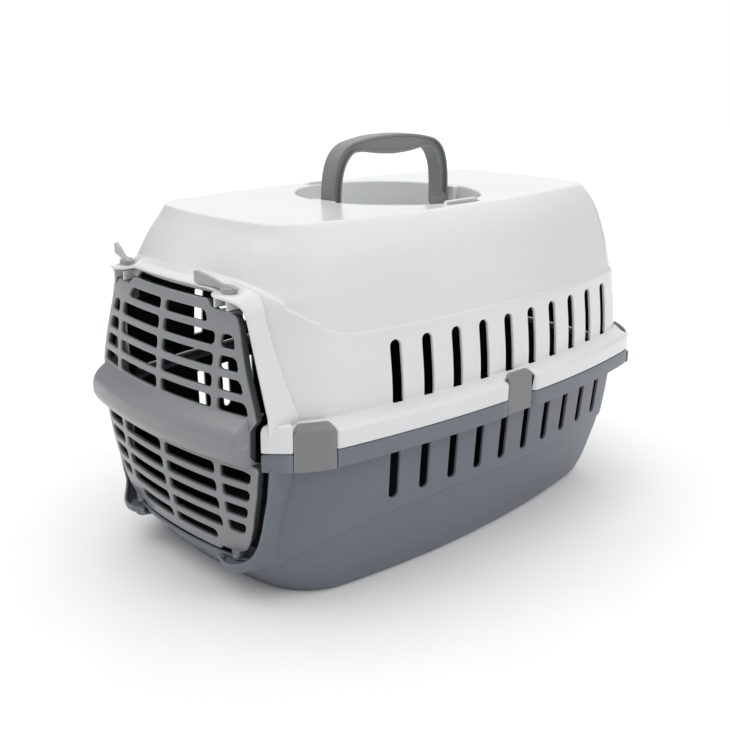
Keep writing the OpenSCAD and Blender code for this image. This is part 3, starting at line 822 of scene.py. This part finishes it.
# ---- door
def build_door():
    xs = np.arange(-108.75, 108.8, 1.5)
    zs = np.arange(245.5, 36.0, -1.5)
    X, Z = np.meshgrid(xs, zs)
    Y = BALL[1] - np.sqrt(BALL_R ** 2 - X ** 2 - (Z - BALL[2]) ** 2)
    P = np.stack([X, Y, Z], axis=-1)
    edge = polygon_distance(X, Z, rounded(mirrored([
        (54, 38), (57, 42), (75, 42), (84, 47), (89, 55), (95, 70), (103, 99), (107, 123.5),
        (100, 126), (100.5, 153), (106.5, 161), (104, 171), (95.5, 195.5), (85.5, 228),
        (82, 235), (75, 238), (57, 238), (50, 244)]), 2.5, 3))
    hole = box_distance(np.abs(X), Z, -96, 96, 127.5, 157.5, 2)
    # above and below the band lie four rows of four openings and a short fifth row of two
    pitch, half = 15.9, 5.0
    for row in range(5):
        for z in (168.8 + pitch * row, 115 - pitch * row):
            def opening(x0, x1):
                return box_distance(np.abs(X), Z, x0, x1, z - half, z + half, 3.2)

            if row < 4:
                outer = both(opening(70, 120), edge + 6, 3.2)
                hole = np.minimum(hole, np.minimum(opening(3, 63.5), outer))
            else:
                hole = np.minimum(hole, both(opening(3, 54), edge + 6.5, 5))
    F = np.maximum(edge, -hole)
    T = 4 + 5 * smoothstep(-4.2, -2.8, edge)
    # the grille's material has painted shade on the walls of its cuts
    sheet("door", "door_grille", P, F, T, 1.2, 0.8, "door_grille", flip=True)
    # bumper band across the door
    knots = np.array([(428.6, 122.3), (430.6, 124), (434.2, 125.2), (438.6, 128.2), (442, 133),
                      (443.9, 139), (443.9, 145), (442.6, 150), (439.8, 154.4), (435.6, 158),
                      (432, 160.3), (430.2, 162), (428.6, 163.6)])
    s = arc_length(*knots.T)
    q = np.linspace(0, s[-1], 34)
    prof = np.stack([smooth_curve(s, knots[:, 0], q), smooth_curve(s, knots[:, 1], q)], axis=-1)
    xs = [0, 20, 40, 60, 75, 86, 93, 97.6]
    xs = np.concatenate([-np.array(xs[:0:-1]), xs])
    turn = np.radians([15, 30, 45, 60, 75, 90])
    # x and depth of the rounded ends, which turn back towards the grille
    ends = np.array([(97.8 + 2.5 * math.sin(a), 2.5 - 2.5 * math.cos(a)) for a in turn]
                    + [(100.3, 8), (100.3, 13)])
    full_x = np.concatenate([-ends[::-1, 0], xs, ends[:, 0]])
    deep = np.concatenate([ends[::-1, 1], 0 * xs, ends[:, 1]])
    rr = prof[:, 0][:, None] - deep[None, :]
    Xb = np.broadcast_to(full_x, rr.shape)
    Zb = np.broadcast_to(prof[:, 1][:, None], rr.shape)
    B = np.stack([Xb, BALL[1] - np.sqrt(rr ** 2 - Xb ** 2), Zb], axis=-1)
    sheet("door", "door_band", B[::-1], None, 2.4, 0.6, 0.6, flip=True)
    for tag, side in SIDES:
        cx = side * PIN_X
        for name, poly, depth in (
                ("top_block", [(-7, -4.5), (7, -4.5), (7, 6), (-7, 6)], (222, 237.9)),
                ("foot_block", [(-5, -3.2), (5, -3.2), (5, 4), (-5, 4)], (37.6, 49.6))):
            extrude("door", f"door_{name}_{tag}", rounded(poly, 1.2, 3),
                    lambda u, v, w: (cx + u, PIN_Y + v, w), depth, 0.7)
        top = rounded([(0.01, 230), (PIN_R, 230), (PIN_R, 245), (0.01, 245)], [0, 0, 0.7, 0], 3)
        foot = rounded([(0.01, 25), (PIN_R, 25), (PIN_R, 34.7), (4.5, 34.7), (4.5, 37.5),
                        (3.2, 38.2), (0.01, 40)], [0, 0.7, 0.3, 0.5, 0.5, 0, 0], 3)
        for name, profile in (("top", top), ("foot", foot)):
            lathe("door", f"door_{name}_post_{tag}", profile, cx, PIN_Y, 28)


# ---- doorway collar and fittings
def wall_y(table, x, z, proud):
    """y of the front wall's outer face at one x and z."""
    tau = np.linspace(-90, 0, 1801)
    px, py = plan(tau, level(table, z), -proud)
    return float(np.interp(x, px, py))


def doorway_x(z):
    return float(np.interp(z, [36, 52, 70, 99, 121, 163, 197, 230, 242],
                           [86, 93, 99, 106, 109, 109, 98.5, 88.5, 84]))


def swept(sections, along, across):
    """Surface through rows of section points; samples along the rows and across them."""
    S = np.array(sections, float)
    run = arc_length(*S[:, 0].T) + arc_length(*S[:, -1].T)
    n = max(2, int(run[-1] / (2 * along)))
    q = np.linspace(0, run[-1], n)
    rows = np.stack([[smooth_curve(run, S[:, k, c], q) for c in range(3)]
                     for k in range(S.shape[1])], axis=0)
    k = np.arange(S.shape[1])
    u = np.linspace(0, k[-1], across)
    return np.stack([[smooth_curve(k, rows[:, c, i], u) for c in range(3)] for i in range(n)],
                    axis=0).transpose(0, 2, 1)


def side_section(z, flare, table, proud):
    """Front edge to wall at one height: the collar stands forward of the wall."""
    x = doorway_x(z) + 2.0
    xk = x + flare
    yk = wall_y(table, xk, z, proud) + 0.8
    mid = [x + 0.32 * flare + 0.5, LIP_Y + 0.32 * (yk - LIP_Y), z]
    mid2 = [x + 0.7 * flare + 0.45, LIP_Y + 0.7 * (yk - LIP_Y), z]
    return [[x, LIP_Y, z], mid, mid2, [xk, yk, z]]


def build_collars():
    def k(x, z):
        return [x, wall_y(ROOF, x, z, BEAD) + 0.8, z]

    half = [
        [[0, -215.6, 250.3], [0, -212.5, 251.6], [0, -208.5, 253.2], k(0, 256.2)],
        [[25, -214.9, 250.3], [25, -212, 251.6], [25, -208, 253.2], k(25, 256)],
        [[45, -213.3, 250.1], [45, -210.8, 251.3], [45, -207.2, 252.8], k(45, 255.4)],
        [[54, -212.8, 249.6], [54.5, -210, 250.6], [55, -206.5, 251.9], k(54, 254.8)],
        [[58.4, -214.6, 248.5], [60, -209.5, 248.9], [61, -205, 250.2], k(60, 253.8)],
        [[61.5, -219, 247.9], [64, -212, 247.9], [65.5, -203.8, 248.6], k(66, 252.3)],
        [[66.5, -221.6, 247.9], [68.5, -212, 247.9], [70, -203.2, 248.3], k(71, 251.6)],
        [[72, -222, 247.8], [73, -212, 247.9], [75, -203.5, 248.2], k(76, 250.8)],
        [[77, -220, 247.2], [78, -211.5, 247.6], [79.5, -204, 248], k(81, 249.6)],
        [[81.5, -216.5, 245.6], [82.5, -210, 246.2], [84, -203.5, 246.6], k(86, 247)],
        [[85.2, -212.8, 242.8], [86, -208, 243.2], [87.6, -202.5, 243.4], k(89.5, 243)],
        [[87.5, -210.3, 238.5], [88.8, -206, 238.8], [90.3, -201.5, 238.8], k(91.8, 238.5)]]
    half += [side_section(z, np.interp(z, [150, 195], [2.6, 3.8]), ROOF, BEAD)
             for z in (233, 225, 213, 203, 197, 192, 185, 175, 168, 163, 157, 150)]
    left = [[[-x, y, z] for x, y, z in sec] for sec in half[:0:-1]]
    P = swept(left + half, 1.6, 13)
    sheet("upper_shell", "doorway_collar_upper", P, None, 2.4, 0.9, 0.8)

    def low(x, z):
        return [x, wall_y(BASE, x, z, 0) + 0.8, z]

    right = [side_section(z, f, BASE, 1.7) for z, f in (
        (122, 0.4), (112, 0.5), (99, 0.6), (91, 0.8), (78, 1.5), (70, 2.2), (63, 3.0), (57, 4.2))]
    right += [
        [[93.2, -209.8, 50], [94.2, -206.5, 47.5], [95.8, -202.5, 45], low(97.3, 42.5)],
        [[91.3, -211.2, 45.6], [91.7, -208, 42.2], [92.3, -204.5, 39.6], low(93.4, 37)],
        [[88.2, -213.9, 41.4], [88.3, -211.5, 37.6], [88.1, -208, 35], low(88.5, 32.4)],
        [[84.2, -217.3, 38.4], [84, -215.8, 34.6], [83.8, -211.5, 31.6], low(84, 29.4)],
        [[79.5, -220.3, 36.5], [79.3, -219.6, 32.8], [79, -215, 30.4], low(79, 28.4)],
        [[74, -221.8, 35.6], [74, -221.3, 32.2], [74, -216.5, 30], low(74, 28)],
        [[68, -221.6, 35.2], [68, -221.1, 32], [68, -216.5, 30], low(68, 28)],
        [[62.6, -219.8, 35], [62.6, -219.4, 32], [62.8, -216, 30.3], low(63, 28.8)],
        [[58.6, -217.9, 35], [58.6, -217.4, 32.4], [58.7, -215.6, 31], low(59, 29.8)],
        [[55, -217.4, 34.8], [55, -216.9, 33], [55, -216, 31.8], low(55, 30.6)]]
    P = swept(right, 1.4, 12)
    for tag, side in SIDES:
        sheet("lower_shell", f"doorway_collar_{tag}", P * [side, 1, 1], None, 2.4, 0.9, 0.8,
              flip=side < 0)


def build_fittings():
    """Ribs under the latch lugs, and the floors and bosses of the door's lower sockets."""
    for tag, side in SIDES:
        cx = side * PIN_X

        def at(u, v, w):
            return cx + u, PIN_Y + v, w

        for k, (u0, u1) in enumerate(((-10.5, -8.7), (4.2, 6.0))):
            extrude("upper_shell", f"latch_rib_{tag}_{k}",
                    [(u0, -7), (u1, -7), (u1, 9), (u0, 9)], at, (238.7, 246), 0.4)
        bowl = [(10.6 * math.sin(a), -10.4 * math.cos(a)) for a in np.linspace(-1.5708, 1.5708, 25)]
        extrude("lower_shell", f"floor_ledge_{tag}",
                bowl + [(13, 5), (13, 21), (-13, 21), (-13, 5)], at, (31, 33.9), 0.8)
        boss = rounded([(0.01, 24.6), (4.6, 24.6), (5.0, 24), (6.8, 24), (6.8, 31), (0.01, 31)],
                       [0, 0.3, 0.3, 0.9, 0, 0], 3)
        lathe("lower_shell", f"floor_boss_{tag}", boss, cx, PIN_Y, 40)


# ---- latch levers
def build_levers():
    for (tag, side), turn in zip(SIDES, (163, 189)):
        body, cx, a = f"latch_lever_{tag}", side * PIN_X, math.radians(turn)

        def teeth(r, angle, z):
            wave = np.clip(3 * np.sin(9 * angle) + 0.4, 0, 1)
            return np.where((z < 250.6) & (r > 3), r - 0.9 * wave, r)

        prof = rounded([(0.01, 245.4), (PIN_R, 245.4), (PIN_R, 248.2), (6.5, 248.2), (6.5, 250.6),
                        (5.8, 251), (5.8, 254.3), (4.2, 254.7), (4.2, 255.6), (0.01, 255.6)],
                       [0, 0.4, 0, 0.3, 0.3, 0.3, 0.8, 0.3, 0.6, 0], 3)
        lathe(body, f"{body}_hub", prof, cx, PIN_Y, 108, ripple=teeth)
        wing = rounded([(-7.8, 253.2), (-7.8, 254.6), (0, 256.1), (7, 256.1), (22, 260.4),
                        (34.6, 262.9), (34.6, 253.6), (12, 252.9), (0, 252.4)],
                       [0.9, 0.9, 2, 4, 8, 1.2, 1.2, 6, 2], 4)
        extrude(body, f"{body}_wing", wing, lambda u, v, w: (
            cx + u * math.cos(a) - w * math.sin(a), PIN_Y + u * math.sin(a) + w * math.cos(a), v),
            (-1.7, 1.7), 0.7)


# ---- handle
def build_handle():
    outer = np.array([(76, 0), (75.8, 15), (74.6, 29), (71.2, 42), (64.5, 52), (54.5, 58.2),
                      (42, 61), (22, 63.6), (0, 64.5)])
    inner = np.array([(65, 0), (64.6, 15), (63.2, 28), (60.3, 37.5), (55, 45.6), (47.5, 50.3),
                      (38, 50.6), (20, 48.2), (0, 47)])
    k = np.arange(len(outer))
    q = np.linspace(0, len(outer) - 1, 65)
    side = np.stack([smooth_curve(k, outer[:, 0], q), smooth_curve(k, outer[:, 1], q),
                     smooth_curve(k, inner[:, 0], q), smooth_curve(k, inner[:, 1], q)], axis=-1)
    full = np.concatenate([side, (side * [-1, 1, -1, 1])[-2::-1]])
    loops = []
    for i, (yo, zo, yi, zi) in enumerate(full):
        h = math.hypot(yo - yi, zo - zi)
        u = min(i, len(full) - 1 - i) / 64
        g = 3.4 - 1.6 * float(smoothstep(0.55, 0.85, u))
        t = 2.3
        b = 8.0 + 0.8 * float(smoothstep(0.6, 0.95, u))
        # an H section: two rims of thickness t, 2b wide, with grooves of depth g between them
        sec = rounded([(0, -b), (0, b), (t, b), (t + 0.3, b - g), (h - t - 0.3, b - g),
                       (h - t, b), (h, b), (h, -b), (h - t, -b), (h - t - 0.3, g - b),
                       (t + 0.3, g - b), (t, -b)],
                      [1.2, 1.2, 0.8, 1, 1, 0.8] * 2, 3)
        loops.append([(v, HANDLE_Y + yi + (yo - yi) * a / h, HANDLE_Z + zi + (zo - zi) * a / h)
                      for a, v in sec])
    loft("handle", "handle_bow", loops)
    for end in (-1, 1):
        tag = "front" if end < 0 else "rear"
        for name, r, y0, y1, bev in (("foot", 8, 65, 76, 0.9), ("pivot", 4, 75.5, 81.2, 0.4)):
            extrude("handle", f"handle_{name}_{tag}", circle(r, 48),
                    lambda u, v, w: (u, HANDLE_Y + end * w, HANDLE_Z + v), (y0, y1), bev)
        low, high = WELL_FLOOR - 0.5, TOP - 0.35
        cheek = rounded([(-14, low), (14, low), (14, high), (-14, high)], [0, 0, 1.5, 1.5], 3)
        extrude("upper_shell", f"handle_cheek_{tag}", cheek,
                lambda u, v, w: (u, HANDLE_Y + end * w, v), (77.3, 85.5), 0.8)


def build_well_tongues():
    """Low raised bars just inside the two slots beside the well."""
    bar = rounded([(-21, 0), (-19, 2.4), (19, 2.4), (21, 0), (21, -1), (-21, -1)],
                  [0, 1.2, 1.2, 0, 0, 0], 3)
    for tag, side in SIDES:
        extrude("upper_shell", f"well_tongue_{tag}", bar,
                lambda u, v, w: (side * w, HANDLE_Y + u, TOP + v), (85.9, 89.6), 0.7)


# ---- rim clips
def build_clips():
    dense = np.linspace(-90, 270, 14401)
    x, y = plan(dense, RIM)
    arc = arc_length(x, y)
    prof = rounded([(-6.6, 123.4), (-1.95, 123.4), (-1.95, 152.0), (-9, 155.1), (-9, 157.5),
                    (-1.9, 154.9), (0.1, 152.6), (0.1, 121.5), (-0.9, 120.6), (-6.6, 120.6)],
                   [0, 0.5, 0.8, 0.6, 1.1, 2.6, 2.6, 1.0, 0.5, 0], 4)
    ear = rounded([(-15, 132.5), (-15, 114), (-9.6, 119.1), (-3.4, 121.6), (-3.4, 132.5)], 0.6, 2)
    for child, p, n in CLIPS:
        mid = arc[np.argmin(np.hypot(x - p[0], y - p[1]))]
        s = [3, 6, 9, 11.6, 13.8, 15.3, 16.2, PLATE_HALF]
        s = np.array([-v for v in s[::-1]] + [0] + s)
        px, py = np.interp(mid + s, arc, x), np.interp(mid + s, arc, y)
        tx, ty = np.gradient(px), np.gradient(py)
        out = unit(np.stack([ty, -tx], axis=-1))
        # the two top corners are rounded, and the middle and rear clips sit back in the rim
        back = 0.0 if "front" in child else 2.7
        e = np.clip(1 - (PLATE_HALF - np.abs(s)) / 5, 0, 1)[:, None]
        k = np.sqrt(np.clip(1 - e * e, 0.003, 1))
        high = (prof[:, 1] > 150.4)[None, :]
        u = np.where(high, -1 + (prof[:, 0] + 1) * k, prof[:, 0])
        u = u - back * (prof[:, 0] > -5)[None, :]
        z = np.where(high, 150.4 + (prof[:, 1] - 150.4) * k, prof[:, 1] + 0 * k)
        P = np.stack([px[:, None] + out[:, 0:1] * u, py[:, None] + out[:, 1:2] * u, z], axis=-1)
        round_edges(loft(child, child + "_plate", P), 0.6, 0.9)
        along = np.array([-n[1], n[0], 0])

        def frame_at(u, v, w):
            return p * [1, 1, 0] + n * u + along * w + [0, 0, v]

        extrude(child, child + "_bead", circle(2, 24),
                lambda u, v, w: frame_at(u - PIVOT_IN, PIVOT_Z + v, w),
                (-BEAD_HALF, BEAD_HALF), 0.3)
        for k, c in enumerate((-EAR_AT, EAR_AT)):
            extrude("lower_shell", f"{child}_ear_{k}", ear, frame_at,
                    (c - EAR_HALF, c + EAR_HALF), 0.3)


# ---- stage
AMBIENT, BACKDROP, KEY_POWER = 0.25, 1.0, 0.45
# bright soft-edged patches of the room: direction, cosines at the two edges, strength
SOFT_BOXES = [((0.05, 0.1, 1), 0.40, 0.80, 1.05), ((0.95, 0.35, 0.30), 0.74, 0.93, 0.6),
              ((-0.6, -0.75, 0.42), 0.80, 0.94, 0.6), ((-0.7, 0.7, 0.25), 0.75, 0.94, 0.7)]

# the photo's camera: place in metres, angles in degrees
CAMERA_AT = (0.6188, -0.6142, 0.4108)
YAW, DOWN, ROLL = 46.38, 18.04, 0.28
LENS, SHIFT = 47.13, (0.0238, 0.0092)


def build_stage():
    scene = bpy.context.scene
    half = 6000.0
    corners = [(-half, -half, 0), (half, -half, 0), (half, half, 0), (-half, half, 0)]
    ob = make_object("studio_floor", corners, [[0, 1, 2, 3]], ["floor_pale"])
    world = bpy.data.worlds.new("studio")
    scene.world = world
    world.use_nodes = True
    nt = Nodes(world.node_tree)
    look = nt.add("TexCoord").outputs["Generated"]
    glow = AMBIENT
    for aim, outer, inner, strength in SOFT_BOXES:
        along = nt.vector("DOT_PRODUCT", look, Vector(aim).normalized(), "Value")
        glow = nt.maths("ADD", nt.maths("MULTIPLY", nt.step(along, outer, inner), strength), glow)
    seen = nt.add("LightPath").outputs["Is Camera Ray"]
    shown = nt.maths("ADD", nt.maths("MULTIPLY", glow, nt.maths("SUBTRACT", 1.0, seen)),
                     nt.maths("MULTIPLY", seen, BACKDROP))
    sky = world.node_tree.nodes["Background"].inputs
    nt.feed(sky["Color"], (1, 1, 1, 1))
    nt.feed(sky["Strength"], shown)
    scene.view_settings.view_transform = "Standard"
    scene.view_settings.look = "None"
    sun = bpy.data.lights.new("soft_key", "SUN")
    sun.energy, sun.angle = KEY_POWER, math.radians(50)
    sun_ob = bpy.data.objects.new("soft_key", sun)
    scene.collection.objects.link(sun_ob)
    sun_ob.rotation_euler = Vector((0.35, 0.25, -1.0)).to_track_quat("-Z", "Y").to_euler()
    cam = bpy.data.cameras.new("photo_camera")
    cam_ob = bpy.data.objects.new("photo_camera", cam)
    scene.collection.objects.link(cam_ob)
    cam_ob.matrix_world = (Matrix.Translation(CAMERA_AT)
                           @ Matrix.Rotation(math.radians(YAW), 4, "Z")
                           @ Matrix.Rotation(math.radians(90 - DOWN), 4, "X")
                           @ Matrix.Rotation(math.radians(ROLL), 4, "Z"))
    cam.sensor_width, cam.lens = 36, LENS
    cam.shift_x, cam.shift_y = SHIFT
    cam.clip_start = 0.01
    scene.camera = cam_ob


build_upper()
build_lower()
build_lower_rim()
build_corner_blocks()
build_door()
build_collars()
build_fittings()
build_levers()
build_handle()
build_well_tongues()
build_clips()
build_stage()

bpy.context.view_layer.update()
